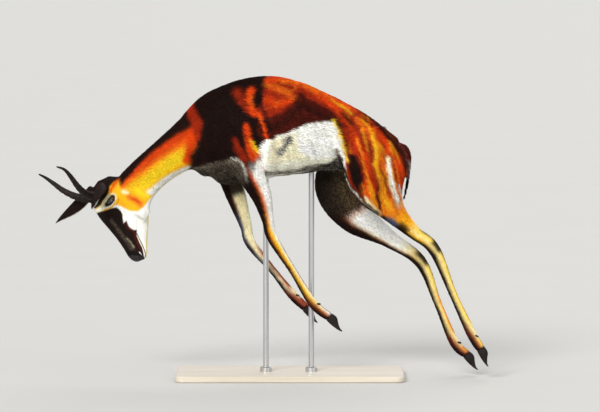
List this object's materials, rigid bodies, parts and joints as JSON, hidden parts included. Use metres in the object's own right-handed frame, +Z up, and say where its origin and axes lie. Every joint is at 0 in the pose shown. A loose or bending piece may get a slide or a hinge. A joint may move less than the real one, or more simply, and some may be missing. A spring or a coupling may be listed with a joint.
{
  "type": "springbok",
  "caption": "Life-size springbok coming down from a leap, head low and back arched, held over a flat display base by two rods.",
  "frame": {"origin": "centre of the display base's underside", "axes": "+Z up, the animal faces -X and its left side faces -Y"},
  "size_m": [1.3042, 0.3457, 0.878],
  "materials": {
    "body_coat": "short matte hair",
    "neck_coat": "short matte hair",
    "leg_coat": "short matte hair",
    "head_coat": "short matte hair",
    "tail": "long matte hair",
    "horn": "satin ringed horn",
    "hoof": "satin horn",
    "eye": "wet gloss",
    "stand_base": "satin pale lacquer",
    "stand_rod": "brushed"
  },
  "bodies": {
    "root": {"ear_left": "head_coat", "ear_right": "head_coat", "eye_left": "eye", "eye_right": "eye", "fore_left_claw_inner": "hoof", "fore_left_claw_outer": "hoof", "fore_left_forearm": "leg_coat", "fore_left_pastern": "leg_coat", "fore_left_shank": "leg_coat", "fore_left_shoulder": "body_coat", "fore_right_claw_inner": "hoof", "fore_right_claw_outer": "hoof", "fore_right_forearm": "leg_coat", "fore_right_pastern": "leg_coat", "fore_right_shank": "leg_coat", "fore_right_shoulder": "body_coat", "head": "head_coat", "hind_left_claw_inner": "hoof", "hind_left_claw_outer": "hoof", "hind_left_gaskin": "leg_coat", "hind_left_haunch": "body_coat", "hind_left_pastern": "leg_coat", "hind_left_shank": "leg_coat", "hind_right_claw_inner": "hoof", "hind_right_claw_outer": "hoof", "hind_right_gaskin": "leg_coat", "hind_right_haunch": "body_coat", "hind_right_pastern": "leg_coat", "hind_right_shank": "leg_coat", "horn_left": "horn", "horn_right": "horn", "neck": "neck_coat", "stand_base": "stand_base", "stand_rod_front": "stand_rod", "stand_rod_rear": "stand_rod", "tail": "tail", "torso": "body_coat"}
  },
  "joints": []
}
